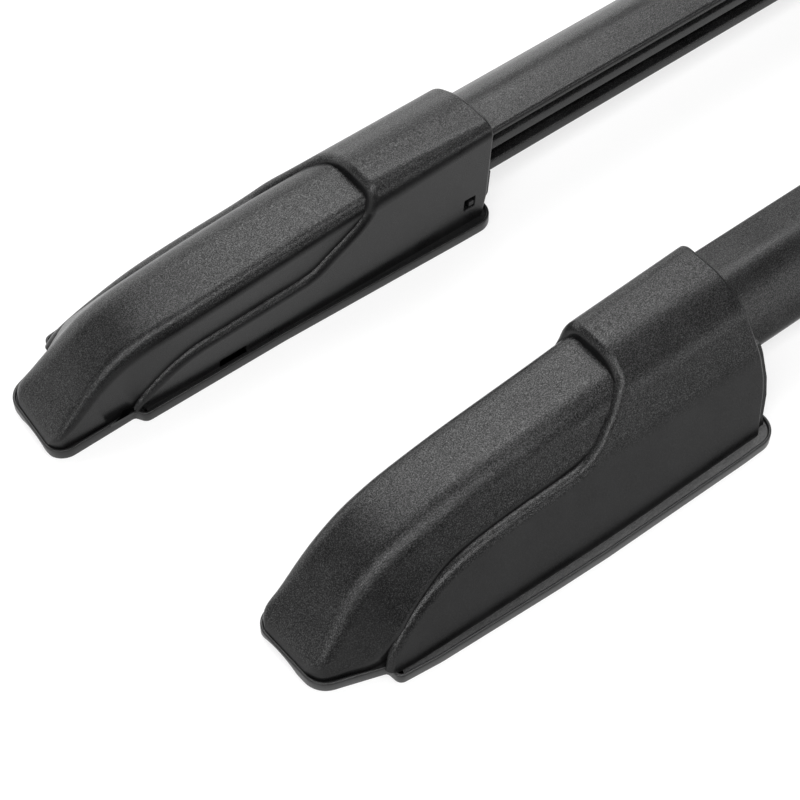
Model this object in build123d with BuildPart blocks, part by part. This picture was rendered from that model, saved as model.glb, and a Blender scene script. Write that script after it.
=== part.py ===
from build123d import *
import os

# Roof side rail pair: two hollow rails, left hand and right hand, each carried by a
# foot at both ends.  Millimetres, +Z up.  The rails run along X, the left rail lies at
# -Y with its outer side facing -Y, the right rail at +Y.  The roof plane is Z = 0.
#
# The left front foot is drawn in foot coordinates: u runs along the rail from the outer
# wing tip, o runs outward from the foot's datum line, z runs up from the roof.

# ---------------------------------------------------------------- driving dimensions
rail_length = 1500.0        # nose to nose
datum_gap = 135.34          # between the two foot datum lines
stagger = 17.8              # the right rail lies this far ahead of the left one
nose_reach = 27.8           # foremost point of the gasket ahead of u = 0

gasket_floor = 3.0          # thickness of the gasket under the bracket
gasket_ledge = 3.9          # thickness under the mouldings, inside the lip
gasket_lip_top = 4.9        # height of the lip round the gasket
gasket_lip = 1.3            # thickness of that lip

housing_wall = 2.0
cover_wall = 2.2
rim_u = 175.4               # rear rim of the collar
cover_rear_u = 124.0        # rear end of the nose cover, under the collar
rail_start_u = 126.0        # where the rail begins inside the collar

bolt_u = (28.0, 78.0)       # roof bolt holes in the bracket and the gasket
bolt_o = 4.0
bolt_hole_r = 3.4

rail_screw_u = (136.0, 156.0)
rail_screw_o = 0.0
rail_screw_r = 2.5
rail_screw_head_r = 4.5

housing_screw_at = ((132.0, 25.0), (140.0, -13.5))
housing_screw_r = 1.7
housing_screw_head_r = 3.3

xn = -rail_length / 2 + stagger / 2 + nose_reach    # X of u = 0 on the left rail
yn = -datum_gap / 2                                 # Y of o = 0 on the left rail
mid_left = stagger / 2                              # X of the left rail's middle


def at(u, o):
    """Plan position of a point given in foot coordinates."""
    return (xn + u, yn - o)


def cross(u, skew=0.0):
    """Cross-section plane at u, x outward and y up, turned in plan by skew."""
    return Plane(origin=(xn + u, yn, 0), x_dir=(skew, -1, 0), z_dir=(-1, -skew, 0))


def side(o):
    """Side-view plane at o, x along the rail and y up, extruding outward."""
    return Plane(origin=(xn, yn - o, 0), x_dir=(1, 0, 0), z_dir=(0, -1, 0))


def inset(points, t):
    """Corners of a polygon, listed anticlockwise, moved inward by t."""
    n = len(points)
    moved = []
    for i in range(n):
        (ax, ay), (bx, by), (cx, cy) = points[i - 1], points[i], points[(i + 1) % n]
        d1 = Vector(bx - ax, by - ay).normalized()
        d2 = Vector(cx - bx, cy - by).normalized()
        n1, n2 = Vector(-d1.Y, d1.X), Vector(-d2.Y, d2.X)
        k = t / (1 + n1.dot(n2))
        moved.append((bx + (n1.X + n2.X) * k, by + (n1.Y + n2.Y) * k))
    return moved


# ---------------------------------------------------------------- shared outlines
# gasket outline in plan (u, o) with the corner radii
gasket_outline = [
    (-27.8, -18.0), (-26.0, 18.5), (-1.6, 27.0), (-0.8, 33.0), (16.0, 35.0),
    (67.0, 37.8), (90.0, 38.6), (157.0, 39.1), (175.0, 38.7), (178.4, -26.0),
    (160.0, -25.6), (74.0, -22.6), (12.0, -21.8), (7.6, -17.6),
]
gasket_radii = [8.0, 10.0, 1.5, 3.0, 40.0, 60.0, 60.0, 60.0, 10.0, 8.0, 60.0, 60.0, 3.0, 1.5]

# base plate of the bracket in plan (u, o)
plate_outline = [
    (10.0, -8.0), (10.0, 16.0), (60.0, 26.0), (150.0, 29.0), (150.0, -17.4), (96.0, -16.4), (60.0, -12.0),
]

# seam between the housing's wings and the nose cover, in side view (u, z)
outer_seam = [
    (-3.0, 9.4), (5.0, 17.2), (11.0, 21.8), (17.0, 25.3), (27.0, 29.6), (37.0, 32.3),
    (46.0, 33.7), (64.0, 35.3), (82.0, 36.0), (91.0, 37.0), (97.0, 39.4),
    (104.0, 43.4), (110.0, 47.4), (115.0, 53.0), (117.6, 60.0),
]
inner_seam = [
    (8.4, 7.4), (11.0, 10.2), (15.7, 13.9), (20.0, 17.0), (29.5, 21.8), (38.6, 23.9),
    (56.0, 24.7), (75.0, 25.8), (86.0, 26.6), (91.0, 28.0), (98.5, 33.3),
    (107.8, 39.4), (112.0, 42.9), (115.6, 48.4), (117.6, 60.0),
]

# housing sections: u, outer foot, wing crest (o, z), inner foot, wall
housing_sections = [
    (-2.4, 30.0, (27.6, 13.0), -18.4, 1.0),
    (8.0, 31.4, (25.2, 20.6), -18.7, 1.2),
    (20.0, 32.1, (22.9, 27.4), -19.2, 1.6),
    (36.0, 32.6, (21.8, 32.6), -19.6, housing_wall),
    (60.0, 33.5, (21.4, 35.4), -19.9, housing_wall),
    (90.0, 34.4, (21.6, 36.8), -20.3, housing_wall),
    (116.0, 34.7, (22.3, 35.0), -20.8, housing_wall),
    (178.0, 34.7, (22.3, 34.5), -21.6, housing_wall),
]
collar_shoulder = (10.5, 50.5)
collar_roof = (-3.0, 56.9)
collar_inner_top = (-25.0, 56.5)
collar_corner = {178.0: 5.4}                        # inner top corner: tighter at the rim


def collar_radii(u, wall):
    """Corner radii of the housing's section, smaller on its inside."""
    return [0, 22.0 - wall, 17.0 - wall, 23.0 - wall, collar_corner.get(u, 8.6) - wall, 0]


def housing_polygon(foot, crest, inner_foot, low):
    """Section of the housing's outside, its side lines run on down to low."""
    t_out = (gasket_floor - low) / (crest[1] - gasket_floor)
    t_in = (gasket_floor - low) / (collar_inner_top[1] - gasket_floor)
    return [
        (foot + (foot - crest[0]) * t_out, low), crest, collar_shoulder, collar_roof, collar_inner_top,
        (inner_foot + (inner_foot - collar_inner_top[0]) * t_in, low),
    ]


# nose cover sections: u, skew, then the outline from the outer lower edge over the outer
# seam line, both top edges and the inner seam line to the inner lower edge, and the radii
# of the two top edges
cover_sections = [
    (-25.0, 0.06, [(12.1, 4.0), (12.2, 5.4), (12.1, 7.6), (-12.1, 7.6), (-12.1, 5.4), (-12.1, 4.0)], 0.8, 0.8),
    (-21.5, 0.05, [(17.2, 4.0), (17.2, 6.8), (15.0, 12.4), (-15.6, 12.4), (-15.4, 6.8), (-15.4, 4.0)], 2.0, 2.0),
    (-14.0, 0.02, [(20.8, 4.0), (20.2, 7.0), (13.2, 19.9), (-16.2, 19.7), (-15.7, 8.0), (-15.4, 4.0)], 3.4, 3.0),
    (-5.0, 0.0, [(23.9, 4.0), (22.9, 8.4), (10.2, 29.4), (-17.1, 28.8), (-15.9, 9.0), (-15.4, 4.0)], 4.5, 4.0),
    (5.0, 0.0, [(24.4, 12.0), (24.2, 17.2), (9.0, 36.4), (-18.1, 35.9), (-16.4, 10.0), (-15.6, 4.4)], 5.4, 4.6),
    (16.0, 0.0, [(22.0, 20.0), (21.4, 24.6), (8.6, 40.9), (-19.2, 40.2), (-18.0, 16.0), (-17.4, 10.0)], 8.0, 5.0),
    (35.0, 0.0, [(18.6, 27.0), (17.8, 32.2), (7.6, 44.8), (-20.9, 43.0), (-19.1, 24.8), (-18.4, 19.5)], 10.0, 5.0),
    (65.0, 0.0, [(18.4, 30.5), (17.3, 35.4), (6.8, 48.6), (-21.7, 45.9), (-19.4, 27.0), (-18.8, 21.5)], 12.0, 5.0),
    (92.0, 0.0, [(18.4, 31.5), (17.2, 36.8), (7.0, 50.2), (-21.6, 48.4), (-20.0, 29.5), (-19.2, 22.5)], 13.0, 5.0),
    (cover_rear_u, 0.0, [(18.4, 31.5), (17.2, 37.0), (7.4, 50.9), (-21.7, 49.6), (-20.5, 30.0), (-19.8, 22.5)], 13.0, 5.0),
]


# ---------------------------------------------------------------- left front foot
# base gasket: pad with an upstanding lip, let in for the bracket's plate, arched below the nose
with BuildPart() as left_front_base_gasket:
    with BuildSketch(Plane.XY):
        with BuildLine():
            FilletPolyline(*[at(u, o) for u, o in gasket_outline], radius=gasket_radii, close=True)
        make_face()
    extrude(amount=gasket_lip_top)
    with BuildSketch(Plane.XY.offset(gasket_ledge)):
        with BuildLine():
            FilletPolyline(*[at(u, o) for u, o in gasket_outline], radius=gasket_radii, close=True)
        make_face()
        offset(amount=-gasket_lip, kind=Kind.INTERSECTION, mode=Mode.REPLACE)
    extrude(amount=10, mode=Mode.SUBTRACT)
    with BuildSketch(Plane.XY.offset(gasket_floor)):
        with BuildLine():
            FilletPolyline(*[at(u, o) for u, o in plate_outline], radius=4.0, close=True)
        make_face()
        offset(amount=0.7, mode=Mode.REPLACE)
    extrude(amount=10, mode=Mode.SUBTRACT)
    with BuildSketch(cross(-40.0)):
        with BuildLine():
            arch = ThreePointArc((-13.0, 0), (-2.5, 2.9), (8.0, 0))
            Line(arch @ 1, arch @ 0)
        make_face()
    extrude(amount=-20.0, mode=Mode.SUBTRACT)
    with BuildSketch(Plane.XY):
        with Locations(*[at(u, bolt_o) for u in bolt_u]):
            Circle(bolt_hole_r)
    extrude(amount=20, mode=Mode.SUBTRACT)

# foot housing: collar round the rail and two side wings, hollow and open below
with BuildPart() as left_front_foot_housing:
    for u, foot, crest, inner_foot, wall in housing_sections:
        with BuildSketch(cross(u)):
            with BuildLine():
                FilletPolyline(
                    *housing_polygon(foot, crest, inner_foot, gasket_ledge),
                    radius=collar_radii(u, 0.0), close=True,
                )
            make_face()
    loft(ruled=True)
    for u, foot, crest, inner_foot, wall in housing_sections:
        shifted = {-2.4: -6.0, 178.0: 182.0}.get(u, u)
        with BuildSketch(cross(shifted)):
            with BuildLine():
                FilletPolyline(
                    *inset(housing_polygon(foot, crest, inner_foot, -4.0), wall),
                    radius=collar_radii(u, wall), close=True,
                )
            make_face()
    loft(ruled=True, mode=Mode.SUBTRACT)
    # the U opening for the nose cover
    with BuildSketch(side(-8.0)):
        with BuildLine():
            seam = Spline(*outer_seam)
            Polyline(seam @ 1, (117.6, 80), (-20, 80), (-20, 9.4), seam @ 0)
        make_face()
    extrude(amount=70, mode=Mode.SUBTRACT)
    with BuildSketch(side(-8.0)):
        with BuildLine():
            seam = Spline(*inner_seam)
            Polyline(seam @ 1, (117.6, 80), (-20, 80), (-20, -5), (8.4, -5), seam @ 0)
        make_face()
    extrude(amount=-50, mode=Mode.SUBTRACT)
    # both wing tips stand on the gasket's lip
    with BuildSketch(Plane.XY):
        with Locations(at(-13.0, 40.0)):
            Rectangle(29.2, 40.0)
        with Locations(at(0.0, -24.0)):
            Rectangle(28.6, 20.0)
    extrude(amount=gasket_lip_top + 0.3, mode=Mode.SUBTRACT)
    # rear rim, raked forward near the roof on the outer side
    with BuildSketch(side(5.0)):
        with BuildLine():
            Polyline(
                (rim_u, 80), (rim_u, 26.5), (174.2, 20.3), (171.8, 13.5), (168.8, 4.6), (167.0, -5),
                (200, -5), (200, 80), close=True,
            )
        make_face()
    extrude(amount=60, mode=Mode.SUBTRACT)
    with BuildSketch(side(5.0)):
        with BuildLine():
            Polyline(
                (rim_u, 80), (rim_u, 14.0), (174.2, 7.0), (173.6, -5),
                (200, -5), (200, 80), close=True,
            )
        make_face()
    extrude(amount=-60, mode=Mode.SUBTRACT)
    # screw bosses standing on the bracket, tied to the side walls
    for (u, o), reach in zip(housing_screw_at, (28.6, -20.4)):
        with BuildSketch(Plane.XY.offset(9.0)):
            with Locations(at(u, o)):
                Circle(4.0)
            with Locations(at(u, (o + reach) / 2)):
                Rectangle(3.0, abs(reach - o))
        extrude(amount=7.0)
    with BuildSketch(Plane.XY.offset(9.0)):
        with Locations(*[at(u, o) for u, o in housing_screw_at]):
            Circle(housing_screw_r)
    extrude(amount=7.4, mode=Mode.SUBTRACT)
    # snap window and the drain notch of the inner side
    with BuildSketch(side(-12.0)):
        with Locations((166.0, 16.5)):
            Rectangle(5.5, 6.6)
        with Locations((51.6, 5.0)):
            Rectangle(12.6, 6.2)
    extrude(amount=-20, mode=Mode.SUBTRACT)

# nose cover: closed shell with a sloping nose, tucked inside the wings and the lip
with BuildPart() as left_front_nose_cover:
    for u, skew, outline, ro, ri in cover_sections:
        with BuildSketch(cross(u, skew)):
            with BuildLine():
                FilletPolyline(*outline, radius=[0, 0, ro, ri, 0, 0], close=True)
            make_face()
    loft(ruled=True)
    for u, skew, outline, ro, ri in cover_sections[1:]:
        shifted = {-21.5: -19.6, cover_rear_u: cover_rear_u + 4.0}.get(u, u)
        (ao, az), (bo, bz) = outline[0], outline[-1]
        with BuildSketch(cross(shifted, skew)):
            with BuildLine():
                FilletPolyline(
                    *inset([(ao, az - 6)] + outline[1:-1] + [(bo, bz - 6)], cover_wall),
                    radius=[0, 0, max(ro - cover_wall, 0.4), max(ri - cover_wall, 0.4), 0, 0], close=True,
                )
            make_face()
    loft(ruled=True, mode=Mode.SUBTRACT)

# foot bracket: base plate on the gasket, riser behind the cover and spigot in the rail
with BuildPart() as left_front_foot_bracket:
    with BuildSketch(Plane.XY.offset(gasket_floor)):
        with BuildLine():
            FilletPolyline(*[at(u, o) for u, o in plate_outline], radius=4.0, close=True)
        make_face()
    extrude(amount=6.0)
    with BuildSketch(cross(rail_start_u)):
        with BuildLine():
            FilletPolyline((14.0, 9.0), (9.5, 33.0), (0.5, 46.0), (-14.0, 46.0), (-14.0, 9.0),
                           radius=[0, 2, 2, 2, 0], close=True)
        make_face()
    extrude(amount=22.0)
    with BuildSketch(cross(rail_start_u)):
        with BuildLine():
            FilletPolyline((11.2, 29.6), (11.2, 33.4), (-1.5, 47.4), (-9.8, 47.4), (-9.8, 29.6),
                           radius=1.0, close=True)
        make_face()
    extrude(amount=-42.0)
    # gusset ribs from the plate to the riser
    for o in (-10.0, 8.0):
        with BuildSketch(side(o)):
            with BuildLine():
                Polyline((91.0, 8.5), (104.5, 34.0), (104.5, 8.5), close=True)
            make_face()
        extrude(amount=2.5, both=True)
    with BuildSketch(Plane.XY):
        with Locations(*[at(u, bolt_o) for u in bolt_u]):
            Circle(bolt_hole_r)
    extrude(amount=60, mode=Mode.SUBTRACT)
    with BuildSketch(Plane.XY.offset(20.0)):
        with Locations(*[at(u, rail_screw_o) for u in rail_screw_u]):
            Circle(rail_screw_r + 0.05)
    extrude(amount=21.0, mode=Mode.SUBTRACT)
    with BuildSketch(Plane.XY):
        with Locations(*[at(u, o) for u, o in housing_screw_at]):
            Circle(housing_screw_r + 0.3)
    extrude(amount=10.0, mode=Mode.SUBTRACT)
    with BuildSketch(Plane.XY):
        with Locations(*[at(u, o) for u, o in housing_screw_at]):
            Circle(housing_screw_head_r + 0.3)
    extrude(amount=5.6, mode=Mode.SUBTRACT)

# rail screws: pan heads below the rail, shanks through its floor into the spigot
with BuildPart() as left_front_rail_screws:
    with BuildSketch(Plane.XY.offset(22.6)):
        with Locations(*[at(u, rail_screw_o) for u in rail_screw_u]):
            Circle(rail_screw_head_r)
            RegularPolygon(1.8, 6, mode=Mode.SUBTRACT)
    extrude(amount=2.2)
    with BuildSketch(Plane.XY.offset(24.6)):
        with Locations(*[at(u, rail_screw_o) for u in rail_screw_u]):
            Circle(rail_screw_head_r)
    extrude(amount=1.8)
    with BuildSketch(Plane.XY.offset(26.0)):
        with Locations(*[at(u, rail_screw_o) for u in rail_screw_u]):
            Circle(rail_screw_r)
    extrude(amount=14.0)
    chamfer(left_front_rail_screws.faces().sort_by(Axis.Z)[-2:].edges(), 0.6)

# housing screws: heads let into the bracket's underside, shanks up into the bosses
with BuildPart() as left_front_housing_screws:
    with BuildSketch(Plane.XY.offset(3.1)):
        with Locations(*[at(u, o) for u, o in housing_screw_at]):
            Circle(housing_screw_head_r)
            RegularPolygon(1.4, 6, mode=Mode.SUBTRACT)
    extrude(amount=1.3)
    with BuildSketch(Plane.XY.offset(4.3)):
        with Locations(*[at(u, o) for u, o in housing_screw_at]):
            Circle(housing_screw_head_r)
    extrude(amount=1.3)
    with BuildSketch(Plane.XY.offset(5.4)):
        with Locations(*[at(u, o) for u, o in housing_screw_at]):
            Circle(housing_screw_r - 0.05)
    extrude(amount=10.6)
    chamfer(left_front_housing_screws.faces().sort_by(Axis.Z)[-2:].edges(), 0.4)

# rear closure: plate filling the collar's mouth below the rail, with a snap hook that
# shows in the window of the inner side
with BuildPart() as left_front_rear_closure:
    with BuildSketch(cross(160.0)):
        with BuildLine():
            FilletPolyline(
                *inset(housing_polygon(34.7, (22.3, 34.5), -21.3, 1.7), housing_wall + 0.3),
                radius=collar_radii(178.0, housing_wall + 0.3), close=True,
            )
        make_face()
        with BuildLine():
            Polyline(
                (-60, 26.3), (15.4, 26.3), (18.1, 32.6), (15.6, 36.0), (60, 36.0), (60, 90), (-60, 90),
                close=True,
            )
        make_face(mode=Mode.SUBTRACT)
    extrude(amount=-20.0)
    with BuildSketch(side(60.0)):
        with BuildLine():
            Polyline((168.0, -5), (168.0, 80), (100.0, 80), (100.0, -5), close=True)
        make_face()
    extrude(amount=-120.0, mode=Mode.SUBTRACT)
    with BuildSketch(side(5.0)):
        with BuildLine():
            Polyline((rim_u + 2.4, 80), (rim_u + 2.4, 22.0), (176.4, 15.0), (173.0, 7.0), (172.4, -5),
                     (200, -5), (200, 80), close=True)
        make_face()
    extrude(amount=60, mode=Mode.SUBTRACT)
    with BuildSketch(side(5.0)):
        with BuildLine():
            Polyline((rim_u + 2.4, 80), (rim_u + 2.4, 13.0), (174.8, 6.5), (174.8, -5),
                     (200, -5), (200, 80), close=True)
        make_face()
    extrude(amount=-60, mode=Mode.SUBTRACT)
    # hollow behind the plate's rear face
    with BuildSketch(side(27.0)):
        with Locations((168.6, 14.0)):
            Rectangle(4.0, 16.0)
    extrude(amount=-42.0, mode=Mode.SUBTRACT)
    # snap arm and hook
    with BuildSketch(side(-19.6)):
        with Locations((165.2, 15.8)):
            Rectangle(7.6, 4.0)
    extrude(amount=2.0)
    with BuildSketch(side(-19.0)):
        with Locations((167.2, 15.6)):
            Rectangle(2.4, 2.2)
    extrude(amount=-2.9)

# ---------------------------------------------------------------- left rail
rail_far_u = 2 * (mid_left - xn) - rail_start_u     # the rail's other end, in u
with BuildPart() as left_rail:
    with BuildSketch(cross(rail_start_u)):
        with BuildLine():
            FilletPolyline(
                (-20.6, 26.4), (14.9, 27.0), (17.5, 32.0), (12.2, 40.2), (4.4, 48.0), (-3.5, 52.6), (-21.3, 49.8), (-21.3, 47.0),
                (-17.8, 46.2), (-17.8, 42.2), (-19.8, 41.6), (-19.8, 37.2), (-12.8, 37.2),
                (-12.8, 31.8), (-20.6, 31.8),
                radius=[1.0, 2.5, 5.0, 36.0, 28.0, 14.0, 1.6, 0.8, 0.3, 0.3, 0.4, 0.6, 0.4, 0.4, 0.8],
                close=True,
            )
        make_face()
        with BuildLine():
            FilletPolyline(
                (-10.4, 28.9), (12.8, 29.3), (14.9, 32.6), (10.3, 39.6), (3.2, 46.6), (-3.9, 50.3), (-15.4, 48.2),
                (-15.4, 40.2), (-10.4, 39.6),
                radius=[0.8, 1.0, 1.6, 30.0, 24.0, 10.0, 1.0, 0.5, 0.5],
                close=True,
            )
        make_face(mode=Mode.SUBTRACT)
    extrude(amount=-(rail_far_u - rail_start_u))
    with BuildSketch(Plane.XY.offset(24.0)):
        with Locations(*[at(u, rail_screw_o) for u in rail_screw_u]):
            Circle(rail_screw_r + 0.3)
        with Locations(*[(2 * mid_left - xn - u, yn - rail_screw_o) for u in rail_screw_u]):
            Circle(rail_screw_r + 0.3)
    extrude(amount=8.0, mode=Mode.SUBTRACT)

with BuildPart() as right_rail:
    mirror(left_rail.part.moved(Location((-stagger, 0, 0))), about=Plane.XZ)

# ---------------------------------------------------------------- the other three feet
foot_pieces = {
    "base_gasket": left_front_base_gasket.part,
    "foot_housing": left_front_foot_housing.part,
    "nose_cover": left_front_nose_cover.part,
    "foot_bracket": left_front_foot_bracket.part,
    "rear_closure": left_front_rear_closure.part,
    "rail_screws": left_front_rail_screws.part,
    "housing_screws": left_front_housing_screws.part,
}

os.makedirs("parts", exist_ok=True)

for name, front_left in foot_pieces.items():
    front_left.label = "left_front_" + name
    export_step(front_left, "parts/left_front_" + name + ".step")

    with BuildPart() as left_rear:
        mirror(front_left, about=Plane.YZ.offset(mid_left))
    left_rear.part.label = "left_rear_" + name
    export_step(left_rear.part, "parts/left_rear_" + name + ".step")

    with BuildPart() as right_front:
        mirror(front_left.moved(Location((-stagger, 0, 0))), about=Plane.XZ)
    right_front.part.label = "right_front_" + name
    export_step(right_front.part, "parts/right_front_" + name + ".step")

    with BuildPart() as right_rear:
        mirror(right_front.part, about=Plane.YZ.offset(-mid_left))
    right_rear.part.label = "right_rear_" + name
    export_step(right_rear.part, "parts/right_rear_" + name + ".step")

left_rail.part.label = "left_rail"
export_step(left_rail.part, "parts/left_rail.step")
right_rail.part.label = "right_rail"
export_step(right_rail.part, "parts/right_rail.step")
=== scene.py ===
import math

import bmesh
import bpy
import numpy as np
from mathutils import Matrix, Vector
from mathutils.geometry import tessellate_polygon

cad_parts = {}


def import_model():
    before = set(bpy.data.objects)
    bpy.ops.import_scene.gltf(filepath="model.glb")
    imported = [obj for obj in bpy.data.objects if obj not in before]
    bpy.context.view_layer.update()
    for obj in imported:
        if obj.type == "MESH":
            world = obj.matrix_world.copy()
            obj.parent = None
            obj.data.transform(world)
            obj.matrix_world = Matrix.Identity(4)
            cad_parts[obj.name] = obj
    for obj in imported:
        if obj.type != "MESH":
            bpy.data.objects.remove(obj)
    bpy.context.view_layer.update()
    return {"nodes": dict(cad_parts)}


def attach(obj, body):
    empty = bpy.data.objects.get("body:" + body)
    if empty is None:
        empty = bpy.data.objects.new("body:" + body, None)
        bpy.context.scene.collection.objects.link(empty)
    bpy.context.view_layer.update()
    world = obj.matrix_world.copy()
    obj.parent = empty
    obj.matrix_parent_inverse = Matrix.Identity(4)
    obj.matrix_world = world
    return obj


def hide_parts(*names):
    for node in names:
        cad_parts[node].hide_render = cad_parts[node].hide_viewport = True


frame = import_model()

# Roof side rail pair.  Each foot is drawn once in foot coordinates (u along the rail from
# the outer wing tip, o outward, z up, millimetres) and placed four times.
XN, YN, STAGGER, MID = -713.3, -67.67, 17.8, 8.9
FEET = ("left_front", "left_rear", "right_front", "right_rear")


def world(p, foot, vector=False):
    """Foot coordinates in mm to the row frame in metres; vectors only turn."""
    u, o, z = p[..., 0], p[..., 1], p[..., 2]
    if vector:
        x, y = u, -o
    else:
        x, y = XN + u, YN - o
    if foot.endswith("rear"):
        x = -x if vector else 2 * MID - x
    if foot.startswith("right"):
        x = x if vector else x - STAGGER
        y = -y
    q = np.stack([x, y, z], -1)
    return q if vector else q * 0.001


# ------------------------------------------------------------------ small numeric helpers
def unit(v):
    return v / np.maximum(np.linalg.norm(v, axis=-1, keepdims=True), 1e-12)


def pchip(table):
    xs = np.array([t[0] for t in table], float)
    ys = np.array([t[1] for t in table], float)
    h = np.diff(xs)
    dl = np.diff(ys) / h
    m = np.zeros_like(ys)
    m[0], m[-1] = dl[0], dl[-1]
    for i in range(1, len(xs) - 1):
        if dl[i - 1] * dl[i] > 0:
            w1, w2 = 2 * h[i] + h[i - 1], h[i] + 2 * h[i - 1]
            m[i] = (w1 + w2) / (w1 / dl[i - 1] + w2 / dl[i])

    def f(x):
        x = np.asarray(x, float)
        i = np.clip(np.searchsorted(xs, x) - 1, 0, len(xs) - 2)
        t = (x - xs[i]) / h[i]
        c = np.clip(t, 0, 1)
        y = (
            (2 * c**3 - 3 * c**2 + 1) * ys[i]
            + (c**3 - 2 * c**2 + c) * h[i] * m[i]
            + (3 * c**2 - 2 * c**3) * ys[i + 1]
            + (c**3 - c**2) * h[i] * m[i + 1]
        )
        return y + np.where(t < 0, (x - xs[0]) * m[0], 0) + np.where(t > 1, (x - xs[-1]) * m[-1], 0)

    return f


def smooth(table, sigma):
    """A table as a smooth curve: monotone cubic, then a Gaussian of that width in mm."""
    f = pchip(table)
    if sigma <= 0:
        return f
    step = 0.2
    t = np.arange(table[0][0] - 5, table[-1][0] + 5, step)
    n = int(4 * sigma / step)
    k = np.exp(-0.5 * (np.arange(-n, n + 1) * step / sigma) ** 2)
    k /= k.sum()
    pad = np.concatenate([t[0] - step * np.arange(n, 0, -1), t, t[-1] + step * np.arange(1, n + 1)])
    y = np.convolve(f(pad), k, "valid")
    return lambda x: np.interp(x, t, y)


def rounded(points, radii, runs, arcs):
    """Rows of open polylines with rounded corners, the same number of samples in each.
    points: corners as (rows, 2) arrays.  runs: samples inside each straight.  arcs: samples
    on each corner, 0 for a sharp one."""
    n = len(points)
    first, last, parts = [None] * n, [None] * n, [None] * n
    for i in range(n):
        b = points[i]
        if i in (0, n - 1) or not arcs[i]:
            first[i] = last[i] = b
            parts[i] = b[:, None, :]
            continue
        v1, v2 = points[i - 1] - b, points[i + 1] - b
        l1, l2 = np.linalg.norm(v1, axis=1), np.linalg.norm(v2, axis=1)
        d1, d2 = v1 / l1[:, None], v2 / l2[:, None]
        phi = np.arccos(np.clip((d1 * d2).sum(1), -0.99999, 0.99999))
        r = np.minimum(radii[i] + 0 * phi, 0.46 * np.minimum(l1, l2) * np.tan(phi / 2))
        t = r / np.tan(phi / 2)
        c = b + unit(d1 + d2) * (r / np.sin(phi / 2))[:, None]
        e1, e2 = b + d1 * t[:, None], b + d2 * t[:, None]
        s1, s2, w = (e1 - c) / r[:, None], (e2 - c) / r[:, None], (np.pi - phi)[:, None]
        first[i], last[i] = e1, e2
        arc = []
        for q in np.linspace(0, 1, arcs[i]):
            arc.append(c + r[:, None] * (np.sin((1 - q) * w) * s1 + np.sin(q * w) * s2) / np.sin(w))
        parts[i] = np.stack(arc, 1)
    out = []
    for i in range(n):
        out.append(parts[i])
        if i < n - 1 and runs[i]:
            q = np.linspace(0, 1, runs[i] + 2)[1:-1][None, :, None]
            out.append(last[i][:, None, :] * (1 - q) + first[i + 1][:, None, :] * q)
    return np.concatenate(out, 1)


def grid_normals(p):
    """Unit normals of a (rows, cols, 3) grid; the caller sets their sense."""
    return unit(np.cross(np.gradient(p, axis=0), np.gradient(p, axis=1)))


class Soup:
    """Vertices, normals and faces of one piece."""

    def __init__(self):
        self.v, self.n, self.f, self.count = [], [], [], 0

    def add(self, v, n):
        v = np.asarray(v, float).reshape(-1, 3)
        self.v.append(v)
        self.n.append(np.asarray(n, float).reshape(-1, 3))
        self.count += len(v)
        return self.count - len(v)

    def quads(self, base, rows, cols, keep=None, wrap=False):
        i, j = np.meshgrid(np.arange(rows - 1), np.arange(cols if wrap else cols - 1), indexing="ij")
        k = (j + 1) % cols
        q = np.stack([i * cols + j, i * cols + k, (i + 1) * cols + k, (i + 1) * cols + j], -1) + base
        q = q[keep] if keep is not None else q.reshape(-1, 4)
        self.f.extend(q.tolist())

    def sheet(self, p, n, keep=None, wrap=False):
        base = self.add(p, n)
        self.quads(base, p.shape[0], p.shape[1], keep, wrap)
        return base

    def build(self, name, foot, material, slot, stands_for):
        v = world(np.concatenate(self.v), foot)
        n = unit(world(np.concatenate(self.n), foot, True))
        faces = []
        for f in self.f:
            a, b, c = v[f[0]], v[f[1]], v[f[2]]
            g = np.cross(b - a, c - a)
            if len(f) == 4:
                g = g + np.cross(c - a, v[f[3]] - a)
            if g @ (n[f[0]] + n[f[1]] + n[f[2]]) < 0:
                f = f[::-1]
            faces.append(f)
        return finish_piece(name, v, faces, n, material, stands_for)


def finish_piece(name, v, faces, normals, material, stands_for, sharp=None):
    me = bpy.data.meshes.new(name)
    me.from_pydata(v.tolist(), [], faces)
    me.polygons.foreach_set("use_smooth", [True] * len(me.polygons))
    me.update()
    if normals is not None:
        me.normals_split_custom_set_from_vertices(normals.tolist())
    elif sharp is not None:
        me.set_sharp_from_angle(angle=math.radians(sharp))
    ob = bpy.data.objects.new(name, me)
    bpy.context.scene.collection.objects.link(ob)
    ob.data.materials.append(material)
    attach(ob, "root")
    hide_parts(stands_for)
    return ob


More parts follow.
